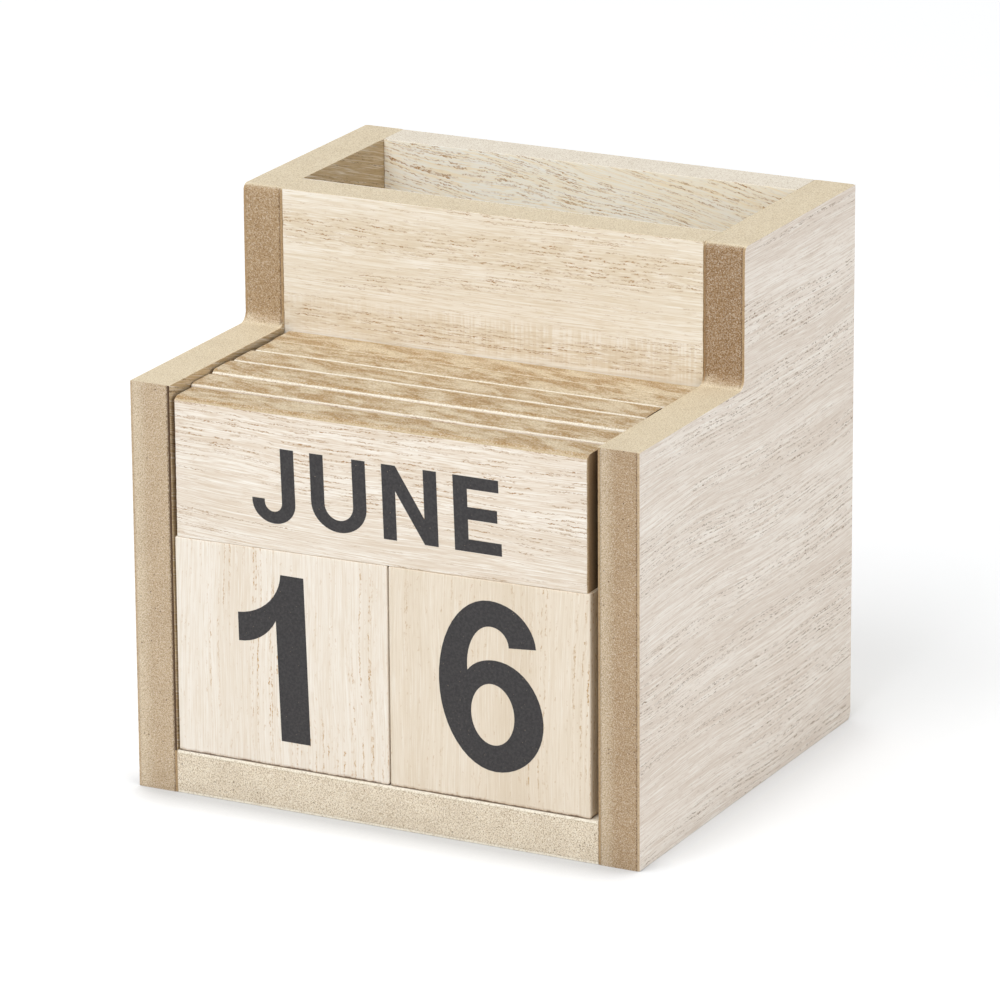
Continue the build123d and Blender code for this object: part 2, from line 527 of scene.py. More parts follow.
def plank_edge(name, seed, front_y, crest):
    """The sawn edge of a month plank: tan, with clouded amber waves along its top and browner ends, which go
    dark with painted shade further behind the front.

    Behind its front edge the crushed fibres make a ragged cream line, as strong as the crest."""
    t = Tree(name)
    place, direction = t.place()
    x, y, z = place
    depth = t.minus(y, front_y / MM)
    warp = t.noise((t.linear(x, 0.07, seed), t.times(y, 0.12), seed), 2.0)
    sway = t.plus(t.plus(t.times(y, 0.30), t.times(warp, 2.2)), t.times(x, 0.05))
    cloud = t.noise((t.linear(x, 0.10, 0.15 * seed), sway, t.times(z, 0.06)), 2.0, 0.55)
    grit = t.blotches(place, (2.6, 4.2, 4.2), 2.0, 0.7)
    wisps = t.blotches(place, (0.5, 2.4, 2.4), 2.0, 0.6)
    colour = t.mix(t.span(cloud, 0.38, 0.62), PLANK_PALE, PLANK_AMBER)
    colour = t.mix(t.times(t.span(cloud, 0.60, 0.70), 0.5), colour, PLANK_PALE)
    bevel = t.span(direction[1], -0.08, -0.3)
    colour = t.mix(t.times(bevel, 0.5), colour, PLANK_AMBER)
    for pattern, start, end, share, tone, blend in (
        (wisps, 0.50, 0.34, 0.25, DUST, "MULTIPLY"),
        (wisps, 0.54, 0.72, 0.15, PALEST, "MIX"),
        (grit, 0.52, 0.66, 0.40, PALEST, "MIX"),
        (grit, 0.48, 0.34, 0.55, DUST, "MULTIPLY"),
    ):
        colour = t.mix(t.times(t.span(pattern, start, end), share), colour, tone, blend)
    ragged = t.linear(grit, 1.6, t.minus(depth, 0.65))
    line = t.times(t.span(ragged, 0.30, 0.0), t.span(direction[2], 0.15, 0.30))
    line = t.times(line, t.span(wisps, 0.40, 0.56, 0.15, 1.0))
    colour = t.mix(t.times(line, crest), colour, CREAM_EDGE)
    # The ends go from brown to nearly black further behind the front: painted shade in the narrow gaps by the
    # side panels
    facing_end = t.span(t.size(direction[0]), 0.5, 0.9)
    end = t.mix(t.span(depth, -0.5, PLANK_END_DEPTH), PLANK_END, PLANK_END_SHADE)
    colour = t.mix(t.times(facing_end, 0.85), colour, end)
    return t.finish(colour, grit, 0.06 * MM, strength=0.5, roughness=0.8)


def ink():
    """Charcoal print, matt and a little mottled, with a few worn flecks."""
    t = Tree("print_ink")
    place, _ = t.place()
    mottle = t.blotches(place, 1.8, 3.0, 0.7)
    flecks = t.blotches(place, 2.9, 1.0)
    colour = t.mix(t.span(mottle, 0.35, 0.70), INK_DARK, INK_PALE)
    colour = t.mix(t.times(t.span(flecks, 0.74, 0.80), 0.35), colour, DUST)
    return t.finish(colour, mottle, 0.02 * MM, strength=0.3, roughness=0.6)


# ---------------------------------------------------------------- meshes


def add_object(name, data):
    """A new object in the scene."""
    added = bpy.data.objects.new(name, data)
    bpy.context.scene.collection.objects.link(added)
    return added


def mesh_object(name, vertices, faces, material):
    """A piece with smooth shading that breaks at its sharp edges."""
    mesh = bpy.data.meshes.new(name)
    mesh.from_pydata(vertices, [], faces)
    mesh.update()
    mesh.polygons.foreach_set("use_smooth", [True] * len(mesh.polygons))
    mesh.set_sharp_from_angle(angle=SHARP_ANGLE)
    mesh.materials.append(material)
    return add_object(name, mesh)


def dress(piece, node):
    """The piece stands for a CAD node, whose part it hides, and moves with its body."""
    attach(piece, BODY_OF[node])
    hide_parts(node)
    return piece


def arc_points(corner, before, after, radius):
    """The rounded stretch at a corner between two straight edges."""
    a = (Vector(before) - Vector(corner)).normalized()
    b = (Vector(after) - Vector(corner)).normalized()
    half = a.angle(b) / 2
    reach = radius / math.tan(half)
    centre = Vector(corner) + (a + b).normalized() * radius / math.sin(half)
    start = Vector(corner) + a * reach - centre
    end = Vector(corner) + b * reach - centre
    turn = start.angle_signed(end)
    steps = max(2, round(abs(turn) / ARC_STEP))
    points = []
    for i in range(steps + 1):
        angle = -turn * i / steps
        c, s = math.cos(angle), math.sin(angle)
        points.append(centre + Vector((c * start.x - s * start.y, s * start.x + c * start.y)))
    return points


def outline_points(corners):
    """A closed outline from (a, b, radius) corners, with points close together on its straight edges."""
    stations = []
    for i, (a, b, radius) in enumerate(corners):
        before = corners[i - 1][:2]
        after = corners[(i + 1) % len(corners)][:2]
        stations.append(arc_points((a, b), before, after, radius) if radius else [Vector((a, b))])
    points = []
    for i, station in enumerate(stations):
        points.extend(station)
        start = station[-1]
        end = stations[(i + 1) % len(stations)][0]
        steps = max(1, round((end - start).length / EDGE_SPACING))
        points.extend(start.lerp(end, j / steps) for j in range(1, steps))
    return points


def inward_normals(points):
    """For each outline point of an anticlockwise outline, the direction into it."""
    normals = []
    for i, point in enumerate(points):
        before = (point - points[i - 1]).normalized()
        after = (points[(i + 1) % len(points)] - point).normalized()
        along = before + after
        normal = Vector((-along.y, along.x)).normalized()
        normals.append(normal / max(0.5, Vector((-before.y, before.x)).dot(normal)))
    return normals


def wear_depths(points, normals, chips, grain, seed):
    """How far each edge point is worn in: most where the edge lies across the grain, if there is one."""
    depths = []
    for point, normal in zip(points, normals):
        across = 1.0 if grain is None else 0.25 + 0.75 * abs(normal[grain])
        p = point / MM
        coarse = noise.noise(Vector((p.x * 0.9, p.y * 0.9, seed)))
        fine = noise.noise(Vector((p.x * 3.1, p.y * 3.1, seed + 5.0)))
        depths.append(chips * across * (0.25 + 0.8 * max(0.0, coarse) + 0.5 * max(0.0, fine)))
    return depths


def plate(name, corners, axis, low, high, soften, chips, grain, seed, material, lid=None):
    """One layer of a board: an outline across one axis, thick along it, with softened, worn edges.

    A lid is the line, seen from the end, that its top is cut down to."""
    points = outline_points(corners)
    normals = inward_normals(points)
    depths = wear_depths(points, normals, chips, grain, seed)
    rings = []
    for level, side, softening in ((low, 1, soften[0]), (high, -1, soften[1])):
        profile = SOFT_EDGE if softening else SHARP_EDGE
        ring = [(level + side * rise * softening, inset * softening) for rise, inset in profile]
        rings.extend(ring if side > 0 else ring[::-1])
    if lid:
        rings.extend((level, 0.0) for level, top in lid[1:-1])
        rings.sort(key=lambda ring: ring[0])
    vertices = []
    for level, inset in rings:
        for point, normal, depth in zip(points, normals, depths):
            a, b = point + normal * (inset + depth)
            vertex = [a, min(b, height_on(lid, level) - inset - depth) if lid else b]
            vertex.insert(axis, level)
            vertices.append(vertex)
    count = len(points)
    faces = []
    for k in range(len(rings) - 1):
        for i in range(count):
            j = (i + 1) % count
            faces.append((k * count + i, k * count + j, (k + 1) * count + j, (k + 1) * count + i))
    faces.append(tuple(range(count - 1, -1, -1)))
    faces.append(tuple(range((len(rings) - 1) * count, len(rings) * count)))
    if axis == 1:
        faces = [face[::-1] for face in faces]
    piece = mesh_object(name, vertices, faces, material)
    work = bmesh.new()
    work.from_mesh(piece.data)
    bmesh.ops.remove_doubles(work, verts=work.verts, dist=WELD)
    bmesh.ops.triangulate(work, faces=[f for f in work.faces if len(f.verts) > 4])
    work.to_mesh(piece.data)
    work.free()
    return piece


def top_line(node):
    """The upper edge of a plank's layer, seen from its end, as its CAD solid has it."""
    middle = sum(corner.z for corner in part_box(node)) / 2
    points = {(round(v.co.y, 6), round(v.co.z, 6)) for v in NODES[node].data.vertices if v.co.z > middle}
    return sorted(points)


def height_on(line, at):
    """The height of a broken line at one place along it."""
    for (y0, z0), (y1, z1) in zip(line, line[1:]):
        if at <= y1:
            return z0 + (z1 - z0) * max(0.0, at - y0) / (y1 - y0)
    return line[-1][1]


def box_corners(node, axis):
    """The outline of a square-cornered layer, across one axis."""
    low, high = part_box(node)
    a, b = [i for i in range(3) if i != axis]
    return [(low[a], low[b], 0), (high[a], low[b], 0), (high[a], high[b], 0), (low[a], high[b], 0)]


def plank_corners(node):
    """The outline of a plank's layer seen from the front, with its foot cut along the blocks' tops."""
    low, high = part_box(node)
    feet = []
    for x in (low.x, high.x):
        feet.append(min(v.co.z for v in NODES[node].data.vertices if abs(v.co.x - x) < WELD))
    return [(low.x, feet[0], 0), (high.x, feet[1], 0), (high.x, high.z, 0), (low.x, high.z, 0)]


def layer(node, axis, softening, chips, grain, material, seed, corners=None, lid=None):
    """The dressed piece for one CAD layer, with its own softening at its low and its high face."""
    low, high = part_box(node)
    outline = corners or box_corners(node, axis)
    ends = (low[axis], high[axis])
    piece = plate(node + "_dressed", outline, axis, *ends, softening, chips, grain, seed, material, lid)
    return dress(piece, node)


def core_layer(node, axis, material, seed, corners=None, lid=None):
    """A board's core, sharp along the faces that are glued to the veneers."""
    return layer(node, axis, (0, 0), CORE_CHIPS, None, material, seed, corners, lid)


def veneer_layer(node, axis, outward, material, seed, corners=None, lid=None):
    """A board's veneer, softened round its face on the outward side, -1 or 1 along the axis."""
    softening = (VENEER_SOFTENING, 0) if outward < 0 else (0, VENEER_SOFTENING)
    return layer(node, axis, softening, VENEER_CHIPS, 0, material, seed, corners, lid)


def top_slope(node):
    """How fast the top of a block climbs from left to right, and where it is at its full height."""
    low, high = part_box(node)
    corners = [v.co for v in NODES[node].data.vertices]
    left = max((c for c in corners if c.x < (low.x + high.x) / 2), key=lambda c: c.z)
    right = max((c for c in corners if c.x > (low.x + high.x) / 2), key=lambda c: c.z)
    return (right.z - left.z) / (right.x - left.x), right.x


def rounded_block(node, material, seed):
    """A day block: a fine box whose edges are rounded, a little unevenly, and whose top slopes."""
    low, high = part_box(node)
    slope, crest = top_slope(node)
    lines = []
    turns = [math.pi / 2 * i / ROUNDING_STEPS for i in range(ROUNDING_STEPS)]
    bend = [BLOCK_ROUNDING * (1 - math.cos(turn)) for turn in turns]
    for a, b in zip(low, high):
        inner = max(1, round((b - a - 2 * BLOCK_ROUNDING) / BLOCK_CELL))
        start, end = a + BLOCK_ROUNDING, b - BLOCK_ROUNDING
        middle = [start + (end - start) * i / inner for i in range(inner + 1)]
        lines.append([a + c for c in bend] + middle + [b - c for c in reversed(bend)])
    index = {}
    vertices = []

    def vertex(i, j, k):
        key = (i, j, k)
        if key not in index:
            q = Vector((lines[0][i], lines[1][j], lines[2][k]))
            wobble = noise.noise(q / MM * 0.12 + Vector((seed, 0, 0)))
            radius = BLOCK_ROUNDING * (1 + 0.25 * wobble)
            core = Vector([min(max(c, a + radius), b - radius) for c, a, b in zip(q, low, high)])
            away = q - core
            point = core + away.normalized() * radius if away.length > 0 else q
            point.z -= slope * max(0.0, crest - point.x) * (point.z - low.z) / (high.z - low.z)
            index[key] = len(vertices)
            vertices.append(point)
        return index[key]

    faces = []
    ends = [len(line) - 1 for line in lines]
    for axis in range(3):
        a, b = [i for i in range(3) if i != axis]
        for side in (0, ends[axis]):
            for u in range(ends[a]):
                for v in range(ends[b]):
                    square = []
                    for du, dv in ((0, 0), (1, 0), (1, 1), (0, 1)):
                        key = [0, 0, 0]
                        key[axis], key[a], key[b] = side, u + du, v + dv
                        square.append(vertex(*key))
                    flip = (side == 0) != (axis == 1)
                    faces.append(tuple(square[::-1] if flip else square))
    piece = mesh_object(node + "_dressed", vertices, faces, material)
    return dress(piece, node)


# ---------------------------------------------------------------- print


def curve(cx, cy, rx, ry, start, end):
    """Points of an elliptical stretch of a letter's outline, between two angles in degrees."""
    count = max(2, round(abs(end - start) / CURVE_STEP))
    points = []
    for i in range(count + 1):
        angle = math.radians(start + (end - start) * i / count)
        points.append((cx + rx * math.cos(angle), cy + ry * math.sin(angle)))
    return points


def ellipse(cx, cy, rx, ry):
    """A whole ellipse."""
    return curve(cx, cy, rx, ry, 0, 360 - CURVE_STEP)


def stroke(path, half):
    """The outline of a bent stroke of even width."""
    left = []
    right = []
    for i, (x, z) in enumerate(path):
        before, after = path[max(0, i - 1)], path[min(len(path) - 1, i + 1)]
        along = Vector((after[0] - before[0], after[1] - before[1])).normalized()
        left.append((x - along.y * half, z + along.x * half))
        right.append((x + along.y * half, z - along.x * half))
    return left + right[::-1]


# Bold sans letters and figures, one unit high. Each is its outlines, the first the outer one.
GLYPHS = {
    "A": [
        [(0, 0), (0.2, 0), (0.275, 0.22), (0.605, 0.22), (0.68, 0), (0.88, 0), (0.545, 1), (0.335, 1)],
        [(0.325, 0.38), (0.555, 0.38), (0.44, 0.76)],
    ],
    "B": [
        [(0, 0), (0.42, 0)] + curve(0.42, 0.29, 0.33, 0.29, -82.5, 55)
        + curve(0.40, 0.745, 0.29, 0.255, -40, 90) + [(0, 1)],
        [(0.195, 0.16), (0.40, 0.16)] + curve(0.40, 0.30, 0.155, 0.14, -82.5, 90) + [(0.195, 0.44)],
        [(0.195, 0.60), (0.38, 0.60)] + curve(0.38, 0.72, 0.12, 0.12, -82.5, 90) + [(0.195, 0.84)],
    ],
    "C": [curve(0.41, 0.5, 0.41, 0.51, 35, 325) + curve(0.41, 0.5, 0.21, 0.34, 315, 45)],
    "D": [
        [(0, 0), (0.36, 0)] + curve(0.36, 0.5, 0.42, 0.5, -82.5, 90) + [(0, 1)],
        [(0.195, 0.165), (0.34, 0.165)] + curve(0.34, 0.5, 0.235, 0.335, -82.5, 90) + [(0.195, 0.835)],
    ],
    "F": [
        [(0, 0), (0.2, 0), (0.2, 0.42), (0.56, 0.42), (0.56, 0.585), (0.2, 0.585)]
        + [(0.2, 0.835), (0.63, 0.835), (0.63, 1), (0, 1)]
    ],
    "G": [
        curve(0.43, 0.5, 0.43, 0.51, 40, 300)
        + [(0.82, 0.17), (0.82, 0.52), (0.44, 0.52), (0.44, 0.36), (0.625, 0.36), (0.625, 0.25)]
        + curve(0.43, 0.5, 0.225, 0.34, 305, 45)
    ],
    "H": [
        [(0, 0), (0.2, 0), (0.2, 0.42), (0.6, 0.42), (0.6, 0), (0.8, 0)]
        + [(0.8, 1), (0.6, 1), (0.6, 0.59), (0.2, 0.59), (0.2, 1), (0, 1)]
    ],
    "I": [[(0, 0), (0.2, 0), (0.2, 1), (0, 1)]],
    "L": [[(0, 0), (0.64, 0), (0.64, 0.165), (0.2, 0.165), (0.2, 1), (0, 1)]],
    "M": [
        [(0, 0), (0.19, 0), (0.19, 0.70), (0.385, 0), (0.575, 0), (0.77, 0.70), (0.77, 0)]
        + [(0.96, 0), (0.96, 1), (0.67, 1), (0.48, 0.30), (0.29, 1), (0, 1)]
    ],
    "O": [ellipse(0.45, 0.5, 0.45, 0.51), ellipse(0.45, 0.5, 0.24, 0.345)],
    "P": [
        [(0, 0), (0.2, 0), (0.2, 0.38), (0.40, 0.38)] + curve(0.40, 0.69, 0.32, 0.31, -82.5, 90) + [(0, 1)],
        [(0.2, 0.545), (0.38, 0.545)] + curve(0.38, 0.69, 0.135, 0.145, -82.5, 90) + [(0.2, 0.835)],
    ],
    "R": [
        [(0, 0), (0.2, 0), (0.2, 0.40), (0.30, 0.40), (0.575, 0), (0.81, 0), (0.52, 0.42)]
        + curve(0.43, 0.715, 0.31, 0.285, -60, 90) + [(0, 1)],
        [(0.2, 0.56), (0.40, 0.56)] + curve(0.40, 0.70, 0.13, 0.14, -82.5, 90) + [(0.2, 0.84)],
    ],
    "S": [
        stroke(curve(0.36, 0.72, 0.25, 0.19, 25, 262.5) + curve(0.37, 0.29, 0.27, 0.20, 82.5, -155), 0.095),
    ],
    "T": [
        [(0.29, 0), (0.49, 0), (0.49, 0.835), (0.78, 0.835), (0.78, 1), (0, 1), (0, 0.835), (0.29, 0.835)]
    ],
    "V": [[(0.34, 0), (0.54, 0), (0.88, 1), (0.67, 1), (0.44, 0.26), (0.21, 1), (0, 1)]],
    "Y": [
        [(0.33, 0), (0.53, 0), (0.53, 0.42), (0.87, 1), (0.64, 1)]
        + [(0.435, 0.62), (0.23, 1), (0, 1), (0.33, 0.42)]
    ],
    "J": [
        [(0.63, 1), (0.435, 1)] + curve(0.308, 0.27, 0.127, 0.13, 0, -180) + [(0.181, 0.30), (0, 0.30)]
        + curve(0.315, 0.27, 0.315, 0.29, 180, 360)
    ],
    "U": [
        [(0.806, 1), (0.611, 1)] + curve(0.403, 0.36, 0.208, 0.21, 0, -180) + [(0.195, 1), (0, 1)]
        + curve(0.403, 0.36, 0.403, 0.37, 180, 360)
    ],
    "N": [
        [(0, 0), (0.19, 0), (0.19, 0.66), (0.595, 0), (0.79, 0)]
        + [(0.79, 1), (0.60, 1), (0.60, 0.34), (0.20, 1), (0, 1)]
    ],
    "E": [
        [(0, 0), (0.67, 0), (0.67, 0.165), (0.2, 0.165), (0.2, 0.43), (0.62, 0.43)]
        + [(0.62, 0.595), (0.2, 0.595), (0.2, 0.835), (0.65, 0.835), (0.65, 1), (0, 1)]
    ],
    "1": [
        [(0.27, 0), (0.458, 0), (0.458, 1)] + curve(0.0, 1.02, 0.31, 0.28, -4, -86)
        + curve(0.02, 0.87, 0.285, 0.30, -90, -30)
    ],
    "6": [
        curve(0.335, 0.74, 0.28, 0.26, 3, 90) + curve(0.335, 0.49, 0.335, 0.51, 97.5, 180)
        + curve(0.335, 0.49, 0.335, 0.49, 187.5, 270) + curve(0.335, 0.32, 0.31, 0.32, 277.5, 360)
        + curve(0.355, 0.32, 0.29, 0.335, 7.5, 90) + curve(0.355, 0.50, 0.20, 0.155, 97.5, 150)
        + curve(0.335, 0.60, 0.155, 0.25, 180, 90) + curve(0.335, 0.74, 0.11, 0.11, 82.5, 0),
        ellipse(0.33, 0.335, 0.135, 0.18),
    ],
    "0": [ellipse(0.33, 0.5, 0.33, 0.51), ellipse(0.33, 0.5, 0.145, 0.36)],
    "2": [
        [(0, 0), (0.64, 0), (0.64, 0.17), (0.26, 0.17), (0.47, 0.39)]
        + curve(0.325, 0.70, 0.30, 0.305, -40, 172.5) + curve(0.325, 0.70, 0.115, 0.145, 165, -40)
        + [(0.33, 0.50), (0, 0.15)]
    ],
    "3": [
        curve(0.32, 0.29, 0.32, 0.30, 185, 415) + curve(0.31, 0.74, 0.28, 0.265, -45, 175)
        + curve(0.31, 0.74, 0.10, 0.115, 170, -90) + [(0.25, 0.62), (0.25, 0.475)]
        + curve(0.31, 0.30, 0.13, 0.155, 90, -170)
    ],
    "4": [
        [(0.36, 0), (0.55, 0), (0.55, 0.20), (0.68, 0.20), (0.68, 0.365), (0.55, 0.365)]
        + [(0.55, 1), (0.385, 1), (0, 0.37), (0, 0.20), (0.36, 0.20)],
        [(0.175, 0.365), (0.36, 0.365), (0.36, 0.69)],
    ],
    "7": [
        [(0.12, 0), (0.32, 0), (0.40, 0.42), (0.64, 0.84), (0.64, 1)]
        + [(0, 1), (0, 0.83), (0.43, 0.83), (0.20, 0.42)]
    ],
    "8": [
        curve(0.33, 0.29, 0.33, 0.30, 130, 410) + curve(0.33, 0.745, 0.285, 0.265, -50, 230),
        ellipse(0.33, 0.285, 0.145, 0.145),
        ellipse(0.33, 0.735, 0.115, 0.12),
    ],
}


def text_width(text):
    """The width of a word whose letters are one unit high."""
    return sum(max(x for x, z in GLYPHS[letter][0]) for letter in text) + LETTER_GAP * (len(text) - 1)


def printed(name, text, node, corner, right, height, material):
    """Ink on an upright face: thin letters from their lower left corner, leaning slightly backward."""
    right = Vector(right)
    out = right.cross(Vector((0, 0, 1)))
    work = bmesh.new()
    pen = 0.0
    for letter in text:
        for outline in GLYPHS[letter]:
            loop = []
            for x, z in outline:
                at = Vector(corner) + right * (pen + x - z * INK_LEAN) * height
                loop.append(work.verts.new((at.x, at.y, at.z + z * height)))
            for i, start in enumerate(loop):
                work.edges.new((loop[i - 1], start))
        pen += max(x for x, z in GLYPHS[letter][0]) + LETTER_GAP
    bmesh.ops.triangle_fill(work, use_beauty=True, edges=work.edges[:], normal=out)
    bmesh.ops.recalc_face_normals(work, faces=work.faces[:])
    grown = bmesh.ops.extrude_face_region(work, geom=work.faces[:])
    moved = [v for v in grown["geom"] if isinstance(v, bmesh.types.BMVert)]
    bmesh.ops.translate(work, verts=moved, vec=out * INK_THICKNESS)
    bmesh.ops.recalc_face_normals(work, faces=work.faces[:])
    mesh = bpy.data.meshes.new(name)
    work.to_mesh(mesh)
    work.free()
    mesh.materials.append(material)
    piece = add_object(name, mesh)
    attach(piece, BODY_OF[node])
    return piece


def printed_plank(number, side, text, material):
    """A month in the middle of a plank's front or rear, as large as the plank's length allows."""
    node = f"month_plank_{number}_{side}_veneer"
    low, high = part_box(node)
    width = text_width(text)
    height = min(MONTH_HEIGHT, MONTH_ROOM / width)
    facing = 1 if side == "front" else -1
    start = (low.x + high.x) / 2 - facing * width * height / 2
    face = low.y if side == "front" else high.y
    corner = (start, face, MONTH_BOTTOM + (MONTH_HEIGHT - height) / 2)
    printed(f"month_print_{number}_{side}", text, node, corner, (facing, 0, 0), height, material)


def printed_figures(block, figures, material):
    """Figures in the middle of a block's right, rear and left faces."""
    low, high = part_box(block)
    middle = (low + high) / 2
    bottom = middle.z - FIGURE_HEIGHT / 2
    for figure, face, right in zip(
        figures,
        ((high.x, middle.y), (middle.x, high.y), (low.x, middle.y)),
        ((0, 1, 0), (-1, 0, 0), (0, -1, 0)),
    ):
        half = text_width(figure) * FIGURE_HEIGHT / 2
        corner = Vector((*face, bottom)) - Vector(right) * half
        printed(f"{block}_figure_{figure}", figure, block, corner, right, FIGURE_HEIGHT, material)


# ---------------------------------------------------------------- the object


def side_panels():
    """Both side panels: a core between two veneers, all cut to one stepped outline."""
    step_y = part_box("partition_front_veneer")[0].y
    outline = [
        (side_low.y, side_low.z, 0),
        (side_high.y, side_low.z, SIDE_HEEL),
        (side_high.y, side_high.z, 0),
        (step_y, side_high.z, SIDE_SHOULDER),
        (step_y, front_top_z, SIDE_FILLET),
        (side_low.y, front_top_z, 0),
    ]
    outer_veneer = wood(
        "side_outer_veneer", 1, SIDE_TONES, seed=3.1, wave=0.5, spacing=0.85, zone=(0.44, 0.56),
        fibre=0.9, edges=Edges(0, BOARD_TOP, LEFT_FRONT, LEFT_FRONT, LEFT_RISER),
    )
    # The inner veneers' front edges beside the bay are painted dark, the left one darkest: painted shade in
    # the gaps by the planks.
    for side, outward, front, gap_edge, riser, teeth in (
        ("left_side", -1, LEFT_FRONT, GAP_SHADE_EDGE, LEFT_RISER, (0.1, 0.75)),
        ("right_side", 1, RIGHT_FRONT, LEFT_RISER, RIGHT_RISER, (0.35, 0.7)),
    ):
        low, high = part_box(side + "_core")
        core = fibreboard(
            side + "_fibreboard", 0, low.x, high.x, BOARD_TOP, front, seed=2.0 + outward, riser=riser,
            teeth=teeth, pale_rim=low.x,
        )
        # The inner veneer's tones are darkened with painted shade
        inner_veneer = wood(
            side + "_inner_veneer", 1, INNER_SHADED_TONES, seed=8.4, wave=0.3, slant=0.3, fibre=0.7,
            edges=Edges(0, BOARD_TOP, LEFT_RISER, gap_edge, riser),
        )
        core_layer(side + "_core", 0, core, 4.0 + outward, outline)
        veneer_layer(side + "_outer_veneer", 0, outward, outer_veneer, 7.0 + outward, outline)
        veneer_layer(side + "_inner_veneer", 0, -outward, inner_veneer, 11.0 + outward, outline)


def floor_board():
    """The floor board between the side panels."""
    low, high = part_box("floor_core")
    core = fibreboard(
        "floor_fibreboard", 2, low.z, high.z, BOARD_TOP, FLOOR_FRONT, seed=6.0, contrast=1.5
    )
    veneer = wood("floor_veneer", 0, CROSS_TONES, seed=15.2, edges=plain_edges(2, CREAM_EDGE))
    core_layer("floor_core", 2, core, 15.0)
    veneer_layer("floor_top_veneer", 2, 1, veneer, 17.0)
    veneer_layer("floor_bottom_veneer", 2, -1, veneer, 19.0)


def cross_boards():
    """The partition behind the calendar and the back board, with the pen compartment between them."""
    partition_veneer = wood(
        "cross_board_veneer", 0, CROSS_TONES, seed=5.2, wave=0.3, spacing=0.65, rhythm=0.3,
        zone=(0.53, 0.64), stray=0.35, cracks=0.4, fibre=0.85, saw_marks=SAW_MARKS, pore_belts=PORE_BELTS,
        edges=plain_edges(1, BOARD_TOP),
    )
    # The compartment's veneer is painted lighter, as painted light inside the compartment
    compartment_veneer = wood(
        "back_inner_veneer", 0, BACK_LIGHTENED_TONES, seed=12.6, wave=1.3, slant=0.12, spacing=0.6, rhythm=0.25,
        zone=(0.36, 0.50), stray=0.9, cracks=0.6, edges=plain_edges(1, BACK_TOP),
    )
    back_veneer = wood("back_outer_veneer", 0, CROSS_TONES, seed=44.3, edges=plain_edges(1, BACK_TOP))
    for board, front_layer, rear_layer, front_skin, rear_skin, top in (
        ("partition", "front_veneer", "rear_veneer", partition_veneer, compartment_veneer, BOARD_TOP),
        ("back", "inner_veneer", "outer_veneer", compartment_veneer, back_veneer, BACK_TOP),
    ):
        low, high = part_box(board + "_core")
        core = fibreboard(board + "_fibreboard", 1, low.y, high.y, top, LEFT_FRONT, seed=low.y)
        core_layer(board + "_core", 1, core, 23.0 + low.y)
        veneer_layer(f"{board}_{front_layer}", 1, -1, front_skin, 27.0 + low.y)
        veneer_layer(f"{board}_{rear_layer}", 1, 1, rear_skin, 31.0 + low.y)


def month_planks(numbers):
    """The planks, each of its own wood. The first has hardly a cream line along its top."""
    for number in numbers:
        plank = f"month_plank_{number}"
        core_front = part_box(plank + "_core")[0].y
        if number == numbers[0]:
            rim, crest = TAN_EDGE, 0.25
        else:
            rim, crest = CREAM_EDGE, 1.0
        edge = plank_edge(f"plank_edge_{number}", 3.3 * number, core_front, crest)
        front_skin = wood(
            plank + "_front_veneer", 0, PLANK_TONES, seed=14.7 + 7 * number, wave=0.6, slant=0.02,
            spacing=0.8, rhythm=0.18, zone=(0.42, 0.54), cracks=0.7, edges=plain_edges(1, rim),
        )
        rear_skin = wood(
            plank + "_rear_veneer", 0, PLANK_TONES, seed=64.7 + 7 * number, wave=0.6, zone=(0.42, 0.54),
            edges=plain_edges(1, TAN_EDGE),
        )
        seed = 8.0 * number
        node = plank + "_core"
        core_layer(node, 1, edge, seed, plank_corners(node), top_line(node))
        node = plank + "_front_veneer"
        veneer_layer(node, 1, -1, front_skin, seed + 0.12, plank_corners(node), top_line(node))
        node = plank + "_rear_veneer"
        veneer_layer(node, 1, 1, rear_skin, seed, plank_corners(node), top_line(node))


def day_blocks():
    """The two day blocks, cut from different wood with its grain upright."""
    left_wood = wood(
        "left_block_wood", 2, LEFT_BLOCK_TONES, seed=4.6, wave=0.5, spacing=1.2, rhythm=0.6,
        zone=(0.46, 0.58), stray=0.4, cracks=0.0, fibre=0.5, pith=LEFT_PITH,
        foot=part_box("left_day_block")[0].z,
    )
    right_wood = wood(
        "right_block_wood", 2, RIGHT_BLOCK_TONES, seed=9.3, wave=0.6, spacing=1.3, rhythm=0.6,
        zone=(0.52, 0.66), stray=0.45, cracks=0.0, fibre=0.35, pith=RIGHT_PITH,
        foot=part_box("right_day_block")[0].z,
    )
    rounded_block("left_day_block", left_wood, 1.0)
    rounded_block("right_day_block", right_wood, 2.0)


def prints(plank_numbers):
    """The date that faces the viewer, then the months and figures on the faces out of sight."""
    material = ink()
    ahead = (1, 0, 0)
    veneer = f"month_plank_{plank_numbers[0]}_front_veneer"
    corner = (MONTH_LEFT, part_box(veneer)[0].y, MONTH_BOTTOM)
    printed("month_print_1_front", "JUNE", veneer, corner, ahead, MONTH_HEIGHT, material)
    for name, figure, block, (x, z), height in (
        ("left_figure_1", "1", "left_day_block", LEFT_FIGURE_CORNER, LEFT_FIGURE_HEIGHT),
        ("right_figure_6", "6", "right_day_block", RIGHT_FIGURE_CORNER, RIGHT_FIGURE_HEIGHT),
    ):
        printed(name, figure, block, (x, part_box(block)[0].y, z), ahead, height, material)
    front_months = ("AUGUST", "SEPTEMBER", "OCTOBER", "NOVEMBER", "DECEMBER")
    rear_months = ("JANUARY", "FEBRUARY", "MARCH", "APRIL", "MAY")
    for side, months in (("front", front_months), ("rear", rear_months)):
        for number, month in zip(plank_numbers[1:], months):
            printed_plank(number, side, month, material)
    printed_figures("left_day_block", "230", material)
    printed_figures("right_day_block", "784", material)


# ---------------------------------------------------------------- stage, light and camera


